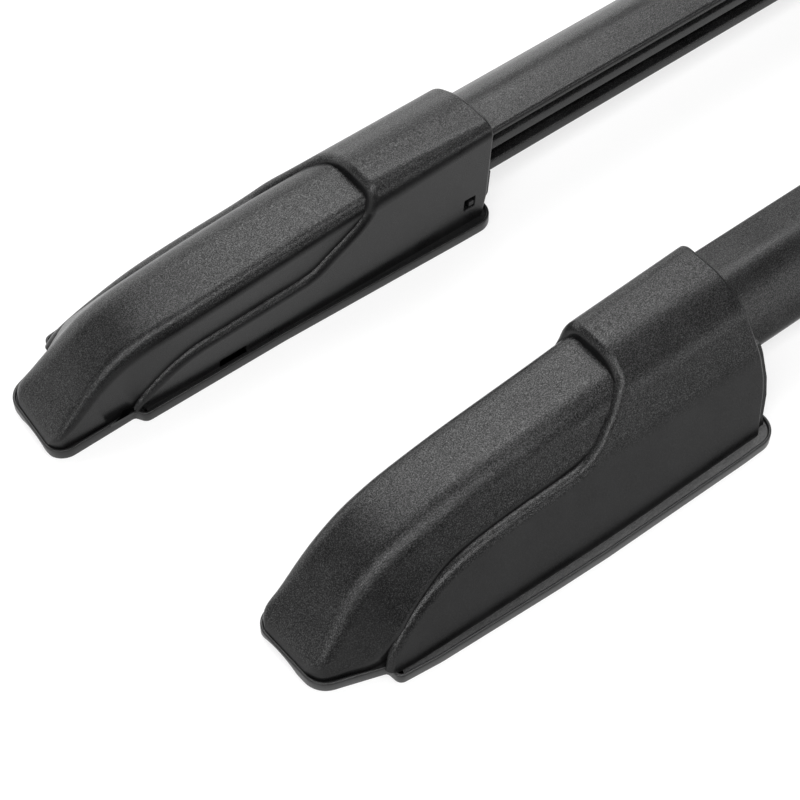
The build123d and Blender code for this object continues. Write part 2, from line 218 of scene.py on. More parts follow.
# ------------------------------------------------------------------ materials
def moulded(name, dark, light, rough, grain_mm, relief, fleck_and_glint, edge_wear_and_sheen, patch_mm=14.0, spec=0.4, side_grain_and_glint=0.15):
    """Black moulding or coating: fine random grain, soft patches, paler edges that are part wear and part painted
    sheen, and a painted glint in the grain of faces that look up.
    """
    mat = bpy.data.materials.new(name)
    mat.use_nodes = True
    nt = mat.node_tree
    nd, ln = nt.nodes, nt.links
    nd.clear()
    out = nd.new("ShaderNodeOutputMaterial")
    bsdf = nd.new("ShaderNodeBsdfPrincipled")
    ln.new(bsdf.outputs["BSDF"], out.inputs["Surface"])
    tc = nd.new("ShaderNodeTexCoord")

    def noise(mm, detail, roughness):
        t = nd.new("ShaderNodeTexNoise")
        t.inputs["Scale"].default_value = 1000.0 / mm
        t.inputs["Detail"].default_value = detail
        t.inputs["Roughness"].default_value = roughness
        ln.new(tc.outputs["Object"], t.inputs["Vector"])
        return t

    def ramp(source, a, b, ca, cb):
        r = nd.new("ShaderNodeMapRange")
        r.inputs["From Min"].default_value = a
        r.inputs["From Max"].default_value = b
        r.inputs["To Min"].default_value = ca
        r.inputs["To Max"].default_value = cb
        ln.new(source, r.inputs["Value"])
        return r.outputs["Result"]

    def math2(op, a, b):
        m = nd.new("ShaderNodeMath")
        m.operation = op
        for s, x in zip(m.inputs, (a, b)):
            if isinstance(x, (int, float)):
                s.default_value = x
            else:
                ln.new(x, s)
        return m.outputs[0]

    patches = noise(patch_mm, 3.0, 0.55)
    fine = noise(grain_mm, 2.0, 0.6)
    finer = noise(grain_mm * 0.45, 1.0, 0.5)
    # colour: slow patches, grain that lifts the high spots with a painted glint on faces that look up, paler convex
    # edges of wear and painted sheen
    geo = nd.new("ShaderNodeNewGeometry")
    # painted sheen together with edge wear: convex edges are made paler
    edge = ramp(geo.outputs["Pointiness"], 0.508, 0.56, 0.0, edge_wear_and_sheen)
    # the grain is strongest on the faces that look up; in the colour this is a painted glint where the top light falls
    turn = nd.new("ShaderNodeSeparateXYZ")
    ln.new(tc.outputs["Normal"], turn.inputs["Vector"])
    upper = ramp(turn.outputs["Z"], 0.36, 0.62, side_grain_and_glint, 1.0)
    # painted glint: the colour specks are paler and stronger on faces that look up, where the top light falls
    specks_and_glint = math2("MULTIPLY", ramp(fine.outputs["Fac"], 0.52, 0.72, 0.0, 0.6 * fleck_and_glint), upper)
    tone = math2("ADD", ramp(patches.outputs["Fac"], 0.3, 0.7, 0.01, 0.06), specks_and_glint)
    tone = math2("ADD", tone, edge)
    mix = nd.new("ShaderNodeMix")
    mix.data_type = "RGBA"
    mix.clamp_factor = True
    mix.inputs["A"].default_value = (*dark, 1)
    mix.inputs["B"].default_value = (*light, 1)
    ln.new(tone, mix.inputs["Factor"])
    ln.new(mix.outputs["Result"], bsdf.inputs["Base Color"])
    # reflection: the high spots of the grain shine, the steep sides are duller
    shine = math2("MULTIPLY", ramp(fine.outputs["Fac"], 0.38, 0.68, -1.15 * fleck_and_glint, 2.3 * fleck_and_glint), upper)
    facing = ramp(turn.outputs["Z"], 0.30, 0.62, 0.72 * spec, spec)
    ln.new(math2("MULTIPLY", math2("ADD", shine, 1.0), facing), bsdf.inputs["Specular IOR Level"])
    # gloss: patches and grain
    gloss = math2("ADD", ramp(patches.outputs["Fac"], 0.3, 0.7, rough - 0.035, rough + 0.035), ramp(finer.outputs["Fac"], 0.3, 0.7, 0.06, -0.06))
    ln.new(gloss, bsdf.inputs["Roughness"])
    # relief: the grain itself
    height = math2("ADD", fine.outputs["Fac"], math2("MULTIPLY", finer.outputs["Fac"], 0.55))
    bump = nd.new("ShaderNodeBump")
    bump.inputs["Distance"].default_value = relief
    ln.new(math2("MULTIPLY", upper, 0.6), bump.inputs["Strength"])
    ln.new(height, bump.inputs["Height"])
    ln.new(bump.outputs["Normal"], bsdf.inputs["Normal"])
    return mat


def metal(name, dark, light, rough, grain_mm, grain, stretch=(1, 1, 1)):
    mat = bpy.data.materials.new(name)
    mat.use_nodes = True
    nt = mat.node_tree
    nd, ln = nt.nodes, nt.links
    bsdf = nd["Principled BSDF"]
    bsdf.inputs["Metallic"].default_value = 1.0
    tc = nd.new("ShaderNodeTexCoord")
    mp = nd.new("ShaderNodeMapping")
    mp.inputs["Scale"].default_value = stretch
    ln.new(tc.outputs["Object"], mp.inputs["Vector"])
    n1 = nd.new("ShaderNodeTexNoise")
    n1.inputs["Scale"].default_value = 1000.0 / grain_mm
    n1.inputs["Detail"].default_value = 4.0
    ln.new(mp.outputs["Vector"], n1.inputs["Vector"])
    mix = nd.new("ShaderNodeMix")
    mix.data_type = "RGBA"
    mix.inputs["A"].default_value = (*dark, 1)
    mix.inputs["B"].default_value = (*light, 1)
    ln.new(n1.outputs["Fac"], mix.inputs["Factor"])
    ln.new(mix.outputs["Result"], bsdf.inputs["Base Color"])
    rr = nd.new("ShaderNodeMapRange")
    rr.inputs["To Min"].default_value = rough - 0.1
    rr.inputs["To Max"].default_value = rough + 0.1
    ln.new(n1.outputs["Fac"], rr.inputs["Value"])
    ln.new(rr.outputs["Result"], bsdf.inputs["Roughness"])
    bump = nd.new("ShaderNodeBump")
    bump.inputs["Strength"].default_value = grain
    bump.inputs["Distance"].default_value = 0.0002
    ln.new(n1.outputs["Fac"], bump.inputs["Height"])
    ln.new(bump.outputs["Normal"], bsdf.inputs["Normal"])
    return mat


M_HOUSING = moulded("housing_grain", (0.002, 0.002, 0.0021), (0.090, 0.090, 0.0915), 0.32, 0.46, 0.00012, 0.45, 0.10, spec=0.27)
M_COVER = moulded("cover_grain", (0.002, 0.002, 0.0021), (0.090, 0.090, 0.0915), 0.32, 0.46, 0.00012, 0.45, 0.10, spec=0.27)
M_RAIL = moulded("rail_coat", (0.002, 0.002, 0.0021), (0.090, 0.090, 0.0915), 0.32, 0.44, 0.00010, 0.40, 0.10, spec=0.29, side_grain_and_glint=0.35)
M_GASKET = moulded("gasket_rubber", (0.006, 0.006, 0.0062), (0.050, 0.050, 0.0505), 0.38, 0.6, 0.00005, 0.12, 0.12, spec=0.38, side_grain_and_glint=0.3)
M_CLOSURE = moulded("closure_moulding", (0.002, 0.002, 0.0022), (0.030, 0.030, 0.0305), 0.42, 0.6, 0.00010, 0.3, 0.15, spec=0.28, side_grain_and_glint=0.6)
M_CAST = metal("bracket_cast", (0.32, 0.325, 0.335), (0.5, 0.505, 0.515), 0.5, 1.2, 0.35)
M_SCREW = metal("screw_zinc", (0.45, 0.45, 0.44), (0.66, 0.66, 0.65), 0.34, 0.8, 0.15)


# ------------------------------------------------------------------ nose cover
C_LO_O = smooth([(-25.8, 11.4), (-25.0, 14.2), (-24.3, 15.7), (-23.5, 16.8), (-21.5, 18.3), (-14, 21.0), (-5, 24.0), (0, 24.8), (5, 24.9), (16, 22.4), (35, 19.1), (65, 18.8), (124, 18.8)], 0.7)
C_LO_Z = smooth([(-25.8, 4.0), (-5, 4.0), (-2, 4.8), (0, 7.0), (5, 11.8), (16, 20.0), (35, 27.0), (65, 30.5), (92, 31.5), (124, 31.5)], 0.8)
C_SO_O = smooth([(-25.8, 11.4), (-25.0, 14.2), (-24.3, 15.6), (-23.5, 16.7), (-21.5, 18.0), (-14, 20.4), (-5, 23.5), (0, 24.8), (5, 24.9), (11, 23.2), (16, 21.8), (22, 20.4), (27, 19.4), (35, 18.3), (46, 17.8), (65, 17.7), (92, 17.6), (124, 17.6)], 0.8)
C_SO_Z = smooth([(-25.8, 4.9), (-25.0, 5.5), (-21.5, 6.6), (-14, 7.2), (-5, 8.8), (-2, 10.6), (5, 17.2), (11, 21.6), (16, 24.6), (22, 27.6), (27, 29.6), (35, 32.0), (46, 33.7), (65, 35.4), (92, 36.8), (124, 37.0)], 1.2)
C_TO_O = smooth([(-25.8, 10.6), (-25.0, 12.5), (-23.5, 14.6), (-21.5, 15.3), (-14, 13.8), (-5, 11.0), (5, 9.6), (16, 9.0), (35, 8.0), (65, 7.2), (92, 7.2), (124, 7.4)], 1.2)
C_TO_Z = smooth([(-25.9, 5.3), (-25.6, 6.4), (-25.2, 7.3), (-24.6, 8.4), (-21.5, 12.2), (-14, 19.8), (-5, 29.2), (0, 33.2), (5, 36.4), (10, 38.9), (16, 41.0), (25, 43.2), (35, 45.0), (50, 47.2), (65, 48.6), (92, 50.2), (124, 50.9)], 1.0)
C_TI_O = smooth([(-25.8, -10.9), (-25.0, -12.9), (-23.5, -14.9), (-21.5, -16.0), (-14, -16.8), (-5, -17.6), (5, -18.5), (16, -19.5), (35, -21.0), (65, -21.8), (92, -21.8), (110, -22.0), (124, -22.3)], 1.2)
C_TI_Z = smooth([(-25.9, 5.3), (-25.6, 6.4), (-25.2, 7.3), (-24.6, 8.4), (-21.5, 12.3), (-14, 19.9), (-5, 29.1), (0, 33.1), (5, 36.2), (10, 38.5), (16, 40.3), (25, 41.9), (35, 43.1), (50, 44.6), (65, 46.0), (92, 48.4), (105, 49.6), (117, 50.7), (124, 51.2)], 1.0)
C_SI_O = smooth([(-25.8, -11.1), (-25.0, -13.0), (-23.5, -14.7), (-21.5, -15.8), (-14, -16.2), (-5, -16.3), (5, -16.5), (16, -18.0), (35, -19.1), (65, -19.4), (92, -20.0), (124, -20.5)], 1.0)
C_SI_Z = smooth([(-25.8, 4.9), (-25.0, 5.5), (-21.5, 6.6), (-14, 7.6), (-5, 8.4), (5, 9.4), (10, 11.0), (16, 15.2), (35, 24.8), (65, 27.0), (92, 29.5), (124, 30.0)], 1.2)
C_LI_O = smooth([(-25.8, -11.1), (-25.0, -13.0), (-23.5, -14.7), (-21.5, -15.8), (-14, -16.1), (-5, -16.2), (5, -16.3), (10, -16.8), (16, -17.6), (35, -18.4), (65, -18.8), (92, -19.2), (124, -19.8)], 1.0)
C_LI_Z = smooth([(-25.8, 4.0), (5, 4.0), (10, 4.0), (13, 5.4), (16, 9.0), (35, 19.5), (65, 21.5), (92, 22.5), (124, 22.5)], 0.9)
C_RO = smooth([(-25.8, 0.4), (-24.6, 1.4), (-23.0, 3.8), (-21.5, 6.0), (-14, 9.5), (-5, 11.0), (5, 11.5), (16, 12.5), (35, 15.0), (65, 18.0), (124, 18.5)], 1.6)
C_RI = smooth([(-25.8, 0.4), (-24.6, 1.2), (-23.0, 2.4), (-21.5, 3.4), (-14, 4.8), (-5, 5.4), (5, 5.8), (16, 6.0), (35, 6.0), (92, 5.8), (124, 5.5)], 1.6)
C_SKEW = smooth([(-26, 0.05), (-20, 0.04), (-8, 0.01), (-3, 0.0), (124, 0.0)], 1.5)

cover_u = np.concatenate([np.arange(-25.9, -24.0, 0.2), np.arange(-24.0, 20, 0.7), np.arange(20, 124.01, 1.3)])


def pair(a, b, u):
    return np.stack([a(u), b(u)], 1)


cover_sec = rounded(
    [pair(C_LO_O, C_LO_Z, cover_u), pair(C_SO_O, C_SO_Z, cover_u), pair(C_TO_O, C_TO_Z, cover_u), pair(C_TI_O, C_TI_Z, cover_u), pair(C_SI_O, C_SI_Z, cover_u), pair(C_LI_O, C_LI_Z, cover_u)],
    [0, 6.0, C_RO(cover_u), C_RI(cover_u), 6.0, 0],
    [3, 10, 18, 12, 4],
    [0, 6, 18, 13, 5, 0],
)
cover_p = np.concatenate([np.repeat(cover_u[:, None, None], cover_sec.shape[1], 1), cover_sec], 2)
cover_p[..., 0] += C_SKEW(cover_u)[:, None] * cover_p[..., 1]
cover_n = grid_normals(cover_p)
mid = cover_sec.mean(1, keepdims=True)
sense = ((cover_n[..., 1:] * (cover_sec - mid)).sum(-1) < 0).mean() > 0.5
cover_n = -cover_n if sense else cover_n


def cover_soup():
    s = Soup()
    s.sheet(cover_p, cover_n)
    # front edge below the slope and the rear edge turned down inside the collar
    front = cover_p[0]
    low = front.copy()
    low[:, 2] = 4.0
    s.sheet(np.stack([low, front]), np.tile(np.array([-1.0, 0, 0]), (2, len(front), 1)))
    rear = cover_p[-1]
    inner = rear.copy()
    inner[:, 1:] += unit(mid[-1] - rear[:, 1:]) * 2.2
    s.sheet(np.stack([rear, inner]), np.tile(np.array([1.0, 0, 0]), (2, len(rear), 1)))
    return s


# ------------------------------------------------------------------ foot housing
H_FOOT = smooth([(-4, 29.8), (-2.4, 30.1), (3, 31.1), (8, 31.5), (20, 32.1), (36, 32.6), (60, 33.5), (90, 34.4), (116, 34.7), (178, 34.7)], 3.0)
H_CR_O = smooth([(-4, 28.0), (-2.4, 27.6), (3, 26.6), (8, 25.2), (14, 23.9), (20, 22.9), (36, 21.8), (60, 21.4), (90, 21.6), (116, 22.3), (178, 22.3)], 3.0)
H_CR_Z = smooth([(-4, 11.6), (-2.4, 13.0), (3, 17.2), (8, 20.6), (14, 24.4), (20, 27.4), (36, 32.6), (60, 35.4), (90, 36.6), (116, 35.0), (178, 34.5)], 3.0)
H_IN = smooth([(-4, -18.4), (8, -18.7), (20, -19.2), (36, -19.6), (60, -19.9), (90, -20.3), (116, -20.8), (178, -21.6)], 4.0)
OUT_Z = smooth([(-3.4, 5.2), (-2.0, 8.6), (1.0, 13.2), (5, 17.2), (11, 21.8), (17, 25.3), (27, 29.6), (37, 32.3), (46, 33.7), (64, 35.3), (82, 36.0), (90, 36.7), (97, 39.4), (104, 43.4), (110, 47.0), (114, 50.4)], 1.2)
IN_Z = smooth([(6.6, 5.2), (8.0, 7.0), (11, 10.2), (15.7, 13.9), (20, 17.0), (29.5, 21.8), (38.6, 23.9), (56, 24.7), (75, 25.8), (86, 26.6), (91, 28.0), (98.5, 33.3), (107.8, 39.4), (112, 42.9), (114.6, 46.0)], 1.2)
LIP_R = smooth([(-4, 1.4), (0, 2.6), (6, 3.6), (15, 4.2), (25, 4.5), (78, 4.5), (92, 3.7), (118, 3.4)], 3.0)
IN_LIP_R = smooth([(6, 1.3), (12, 2.2), (20, 3.0), (40, 3.5), (85, 3.5), (118, 3.6)], 3.0)
FRONT_U = 117.6
RIM_OUT = smooth([(2.0, 168.0), (4.6, 168.8), (13.5, 171.8), (20.3, 174.2), (27.0, 175.3), (33.0, 175.4), (60.0, 175.4)], 0.8)
RIM_IN = smooth([(2.0, 173.8), (7.0, 174.3), (12.0, 175.0), (16.0, 175.4), (60.0, 175.4)], 0.8)
RIM_R, RIM_T = 1.5, 2.4

house_u = np.unique(np.round(np.concatenate([np.arange(-3.4, 20, 0.6), np.arange(20, 44, 1.0), np.arange(44, 60, 0.5), np.arange(60, 88, 1.0), np.arange(88, 120, 0.6), np.arange(120, 160, 2.0), np.arange(160, 171, 0.45), np.arange(171, 175.01, 1.0)]), 3))
zb_out = np.interp(house_u, [0.3, 0.7], [4.75, 3.9])
zb_in = np.interp(house_u, [10.7, 11.2], [4.75, 3.9])
crest = pair(H_CR_O, H_CR_Z, house_u)
foot_o = H_FOOT(house_u)
k = ((zb_out - 3.0) / (crest[:, 1] - 3.0))[:, None]
p0 = np.stack([foot_o, 3.0 + 0 * foot_o], 1) * (1 - k) + crest * k
shoulder = np.tile(np.array([10.5, 50.5]), (len(house_u), 1))
roof = np.tile(np.array([-3.0, 56.9]), (len(house_u), 1))
top_i = np.tile(np.array([-25.0, 56.5]), (len(house_u), 1))
in_o = H_IN(house_u)
k = ((zb_in - 3.0) / (56.5 - 3.0))[:, None]
p4 = np.stack([in_o, 3.0 + 0 * in_o], 1) * (1 - k) + top_i * k
corner_r = np.interp(house_u, [100.0, 118.0, 175.0], [9.6, 9.6, 5.6])
house_sec = rounded([p0, crest, shoulder, roof, top_i, p4], [0, 22.0, 18.0, 24.0, corner_r, 0], [44, 16, 6, 14, 80], [0, 9, 10, 10, 13, 0])
house_p = np.concatenate([np.repeat(house_u[:, None, None], house_sec.shape[1], 1), house_sec], 2)
ncol = house_p.shape[1]
# the rear rows follow the raked rim
z_end = house_p[-1, :, 2]
roof_col = int(np.argmin(np.abs(house_p[-1, :, 1] + 8.0)))
rim_u = np.where(np.arange(ncol) < roof_col, RIM_OUT(z_end), RIM_IN(z_end)) - RIM_R
rear_w = np.clip((house_u - 150.0) / 25.0, 0, 1)[:, None]
house_p[..., 0] = house_p[..., 0] + rear_w * (rim_u[None, :] - 175.0)
house_n = grid_normals(house_p)
if house_n[-1, roof_col, 2] < 0:
    house_n = -house_n

# seam of the U opening in the sheet's own coordinates: u and length along the collar section
sec_len = np.concatenate([[0], np.cumsum(np.linalg.norm(np.diff(house_p[-20, :, 1:], axis=0), axis=1))])
cols = np.arange(ncol)


def col_at_z(u, z, outer):
    """Fractional column where the section at u reaches the height z."""
    r = np.interp(u, house_u, np.arange(len(house_u)))
    i = int(np.clip(np.floor(r), 0, len(house_u) - 2))
    zz = house_p[i, :, 2] * (1 - (r - i)) + house_p[i + 1, :, 2] * (r - i)
    if outer:
        return float(np.interp(z, zz[: roof_col + 1], cols[: roof_col + 1]))
    return float(np.interp(z, zz[roof_col:][::-1], cols[roof_col:][::-1]))


seam = []
for u in np.arange(-3.4, 114.01, 0.5):
    seam.append((u, np.interp(col_at_z(u, float(OUT_Z(u)), True), cols, sec_len)))
s_roof = float(sec_len[roof_col])
s_a, s_b = seam[-1][1], None
inner = []
for u in np.arange(114.5, 6.59, -0.5):
    inner.append((u, np.interp(col_at_z(u, float(IN_Z(u)), False), cols, sec_len)))
s_b = inner[0][1]
bridge = [(115.6, s_a + 3.0), (116.6, s_a + 5.6), (117.2, s_a + 8.2), (FRONT_U, s_a + 11.5), (FRONT_U, s_roof - 4), (FRONT_U, s_roof + 4), (FRONT_U, s_b - 9.0), (117.2, s_b - 6.2), (116.5, s_b - 4.0), (115.6, s_b - 2.0)]
seam = np.array(seam + bridge + inner)
# even out the spacing, then soften the corners
for _ in range(2):
    d = np.concatenate([[0], np.cumsum(np.linalg.norm(np.diff(seam, axis=0), axis=1))])
    t = np.arange(0, d[-1], 0.2)
    seam = np.stack([np.interp(t, d, seam[:, i]) for i in (0, 1)], 1)
    kn = np.exp(-0.5 * (np.arange(-24, 25) * 0.2 / 1.1) ** 2)
    kn /= kn.sum()
    padded = np.concatenate([np.repeat(seam[:1], 24, 0), seam, np.repeat(seam[-1:], 24, 0)])
    seam = np.stack([np.convolve(padded[:, i], kn, "valid") for i in (0, 1)], 1)


def on_sheet(grid, u, s):
    """Values of a (rows, cols, k) grid at sheet coordinates."""
    r = np.clip(np.interp(u, house_u, np.arange(len(house_u))), 0, len(house_u) - 1.001)
    c = np.clip(np.interp(s, sec_len, cols), 0, ncol - 1.001)
    i, j = r.astype(int), c.astype(int)
    fr, fc = (r - i)[:, None], (c - j)[:, None]
    return (grid[i, j] * (1 - fc) + grid[i, j + 1] * fc) * (1 - fr) + (grid[i + 1, j] * (1 - fc) + grid[i + 1, j + 1] * fc) * fr


seam3 = on_sheet(house_p, seam[:, 0], seam[:, 1])
flat = house_p.reshape(-1, 3)
near = np.empty(len(flat), int)
dist = np.empty(len(flat))
for a in range(0, len(flat), 2000):
    dd = np.linalg.norm(flat[a : a + 2000, None, :] - seam3[None, ::2, :], axis=2)
    near[a : a + 2000] = dd.argmin(1) * 2
    dist[a : a + 2000] = dd.min(1)
# inside the opening: point in polygon in sheet coordinates, closed at the front
poly = np.concatenate([[[-60.0, seam[0, 1]]], seam, [[-60.0, seam[-1, 1]]]])
pu = np.repeat(house_u[:, None], ncol, 1).reshape(-1)
ps = np.repeat(sec_len[None, :], len(house_u), 0).reshape(-1)
inside = np.zeros(len(pu), bool)
for (u1, s1), (u2, s2) in zip(poly, np.roll(poly, -1, 0)):
    if s1 == s2:
        continue
    hit = ((s1 > ps) != (s2 > ps)) & (pu < (u2 - u1) * (ps - s1) / (s2 - s1) + u1)
    inside ^= hit
signed = np.where(inside, -dist, dist)
is_in_side = (ps > s_roof)
lip_r = np.where(is_in_side, IN_LIP_R(pu), LIP_R(pu))
f_seam = (signed - lip_r).reshape(len(house_u), ncol)


def box_field(u, z, u0, u1, z0, z1, r):
    """Signed distance outside a rounded rectangle in side view."""
    qx = np.abs(u - (u0 + u1) / 2) - (u1 - u0) / 2 + r
    qz = np.abs(z - (z0 + z1) / 2) - (z1 - z0) / 2 + r
    return np.hypot(np.maximum(qx, 0), np.maximum(qz, 0)) + np.minimum(np.maximum(qx, qz), 0) - r


HOLES = [(163.25, 168.75, 13.2, 19.8, 0.5), (45.4, 57.9, -5.0, 8.0, 0.8)]
HOLE_LIP = 0.35
hu, hz = house_p[..., 0], house_p[..., 2]
in_cols = np.repeat((cols > roof_col)[None, :], len(house_u), 0)
f_holes = np.full(hu.shape, 1e3)
for h in HOLES:
    f_holes = np.minimum(f_holes, np.where(in_cols, box_field(hu, hz, *h) - HOLE_LIP, 1e3))
field = np.minimum(f_seam, f_holes)


def house_soup():
    s = Soup()
    R, C = field.shape
    keep = field > 0
    full = keep[:-1, :-1] & keep[1:, :-1] & keep[1:, 1:] & keep[:-1, 1:]
    none = ~(keep[:-1, :-1] | keep[1:, :-1] | keep[1:, 1:] | keep[:-1, 1:])
    base = s.add(house_p, house_n)
    s.quads(base, R, C, full)
    cut = {}
    cut_p, cut_n, cut_uc = [], [], []

    def crossing(a, b):
        key = (a, b) if a < b else (b, a)
        if key not in cut:
            fa, fb = field[key[0]], field[key[1]]
            t = min(max(fa / (fa - fb), 0.02), 0.98)
            cut[key] = len(cut_p)
            cut_p.append(house_p[key[0]] * (1 - t) + house_p[key[1]] * t)
            cut_n.append(house_n[key[0]] * (1 - t) + house_n[key[1]] * t)
        return cut[key]

    cells, links = [], []
    for i, j in zip(*np.nonzero(~full & ~none)):
        ring = [(i, j), (i, j + 1), (i + 1, j + 1), (i + 1, j)]
        face, ends = [], []
        for a, b in zip(ring, ring[1:] + ring[:1]):
            if keep[a]:
                face.append(("g", a))
            if keep[a] != keep[b]:
                x = crossing(a, b)
                face.append(("c", x))
                ends.append(x)
        cells.append(face)
        if len(ends) == 2:
            links.append(ends)
    cut_p, cut_n = np.array(cut_p), unit(np.array(cut_n))
    cb = s.add(cut_p, cut_n)
    for face in cells:
        ids = [base + v[0] * C + v[1] if kind == "g" else cb + v for kind, v in face]
        for q in range(1, len(ids) - 1):
            s.f.append([ids[0], ids[q], ids[q + 1]])
    # edge chains
    nxt = {}
    for a, b in links:
        nxt.setdefault(a, []).append(b)
        nxt.setdefault(b, []).append(a)
    seen, chains = set(), []
    starts = [a for a in nxt if len(nxt[a]) == 1] + list(nxt)
    for a in starts:
        if a in seen:
            continue
        chain, prev = [a], None
        seen.add(a)
        while True:
            cand = [x for x in nxt[chain[-1]] if x != prev and x not in seen]
            if not cand:
                break
            prev = chain[-1]
            chain.append(cand[0])
            seen.add(cand[0])
        closed = len(chain) > 3 and chain[0] in nxt[chain[-1]]
        chains.append((chain, closed))
    for chain, closed in chains:
        if len(chain) < 4:
            continue
        b = cut_p[chain]
        n = cut_n[chain]
        hole = None
        for h in HOLES:
            if b[:, 1].max() < -10 and np.abs(box_field(b[:, 0], b[:, 2], *h)).max() < 1.5:
                hole = h
        if hole is None:
            idx = np.array([np.argmin(np.linalg.norm(seam3 - q, axis=1)) for q in b])
            g = seam3[idx] - b
            r = np.linalg.norm(g, axis=1)
            for _ in range(3):
                g[1:-1] = (g[:-2] + 2 * g[1:-1] + g[2:]) / 4
            steps, deep = 8, 9.0
            down = np.array([0, 0, -1.0])
        else:
            e = 0.05
            gu = box_field(b[:, 0] + e, b[:, 2], *hole) - box_field(b[:, 0] - e, b[:, 2], *hole)
            gz = box_field(b[:, 0], b[:, 2] + e, *hole) - box_field(b[:, 0], b[:, 2] - e, *hole)
            g = -np.stack([gu, 0 * gu, gz], 1)
            r = np.full(len(b), HOLE_LIP)
            steps, deep = 3, 2.0
            down = None
        g = unit(g - n * (g * n).sum(1, keepdims=True))
        rings, norms = [b], [n]
        for q in range(1, steps + 1):
            a = 0.5 * math.pi * q / steps
            rings.append(b + g * (r * math.sin(a))[:, None] - n * (r * (1 - math.cos(a)))[:, None])
            norms.append(unit(n * math.cos(a) + g * math.sin(a)))
        last = rings[-1]
        if down is None:
            rings.append(last - n * deep)
            norms.append(g)
        else:
            drop = np.clip((last[:, 2:] - 4.2) * 0.9, 0.1, deep)
            rings.append(last + down * (drop * 0.4))
            norms.append(unit(g + np.array([0, 0, 0.15])))
            rings.append(last + down * drop)
            norms.append(unit(g * np.array([1, 1, 0.2])))
        p = np.stack(rings)
        if closed:
            p = np.concatenate([p, p[:, :1]], 1)
            nn = np.stack(norms)
            nn = np.concatenate([nn, nn[:, :1]], 1)
        else:
            nn = np.stack(norms)
        s.sheet(p, nn)
    # rear rim: rounded edge, end face, then the inside of the collar
    edge, en = house_p[-1], house_n[-1]
    en = unit(en * np.array([0.0, 1, 1]))
    xx = np.array([1.0, 0, 0])
    rings, norms = [edge], [en]
    for q in range(1, 7):
        a = 0.5 * math.pi * q / 6
        rings.append(edge + xx * RIM_R * math.sin(a) - en * RIM_R * (1 - math.cos(a)))
        norms.append(unit(en * math.cos(a) + xx * math.sin(a)))
    for q in range(1, 4):
        a = 0.5 * math.pi * q / 3
        rr = RIM_T - RIM_R
        rings.append(edge + xx * (RIM_R - rr * (1 - math.cos(a))) - en * (RIM_R + rr * math.sin(a)))
        norms.append(unit(xx * math.cos(a) - en * math.sin(a)))
    rings.append(edge - xx * 14.0 - en * RIM_T)
    norms.append(-en)
    s.sheet(np.stack(rings), np.stack(norms))
    # lower edges turn inward on the gasket
    for c0 in (0, C - 1):
        ok = keep[:, c0]
        e0 = house_p[ok, c0]
        e1 = e0.copy()
        e1[:, 1] += -2.0 if c0 == 0 else 2.0
        s.sheet(np.stack([e0, e1]), np.tile(np.array([0, 0, -1.0]), (2, len(e0), 1)))
    return s


# ------------------------------------------------------------------ base gasket
def closed_outline(points, radii, step):
    """Closed outline with rounded corners at about even spacing, and its inward normals."""
    pts = [np.array(p, float) for p in points]
    n = len(pts)
    path = []
    for i in range(n):
        a, b, c = pts[i - 1], pts[i], pts[(i + 1) % n]
        d1, d2 = unit(a - b), unit(c - b)
        phi = math.acos(max(-0.99999, min(0.99999, float(d1 @ d2))))
        r = radii[i]
        t = r / math.tan(phi / 2)
        t = min(t, 0.48 * np.linalg.norm(a - b), 0.48 * np.linalg.norm(c - b))
        r = t * math.tan(phi / 2)
        cen = b + unit(d1 + d2) * (r / math.sin(phi / 2))
        s1, s2, w = (b + d1 * t - cen) / r, (b + d2 * t - cen) / r, math.pi - phi
        for q in np.linspace(0, 1, max(4, int(r * w / 0.5))):
            path.append(cen + r * (math.sin((1 - q) * w) * s1 + math.sin(q * w) * s2) / math.sin(w))
    path = np.array(path)
    loop = np.concatenate([path, path[:1]])
    d = np.concatenate([[0], np.cumsum(np.linalg.norm(np.diff(loop, axis=0), axis=1))])
    t = np.linspace(0, d[-1], int(d[-1] / step), endpoint=False)
    p = np.stack([np.interp(t, d, loop[:, i]) for i in (0, 1)], 1)
    tan = unit(np.roll(p, -1, 0) - np.roll(p, 1, 0))
    nrm = np.stack([-tan[:, 1], tan[:, 0]], 1)
    cen = p.mean(0)
    if (nrm * (cen - p)).sum() < 0:
        nrm = -nrm
    return p, nrm


G_OUT = [(-27.8, -18.0), (-26.0, 18.5), (-1.6, 27.0), (-0.8, 33.0), (16.0, 35.0), (67.0, 37.8), (90.0, 38.6), (157.0, 39.1), (175.0, 38.7), (178.4, -26.0), (160.0, -25.6), (74.0, -22.6), (10.2, -22.0), (7.6, -17.6)]
G_RAD = [8.0, 10.0, 1.5, 3.0, 40, 60, 60, 60, 10, 8, 60, 60, 3.6, 1.5]
g_p, g_n = closed_outline(G_OUT, G_RAD, 0.8)


def arch(u, o):
    """Height of the arch below the nose."""
    h = 2.9 * (1 - ((o + 2.5) / 10.5) ** 2)
    return np.where((u < -20.0) & (h > 0), h, 0.0)


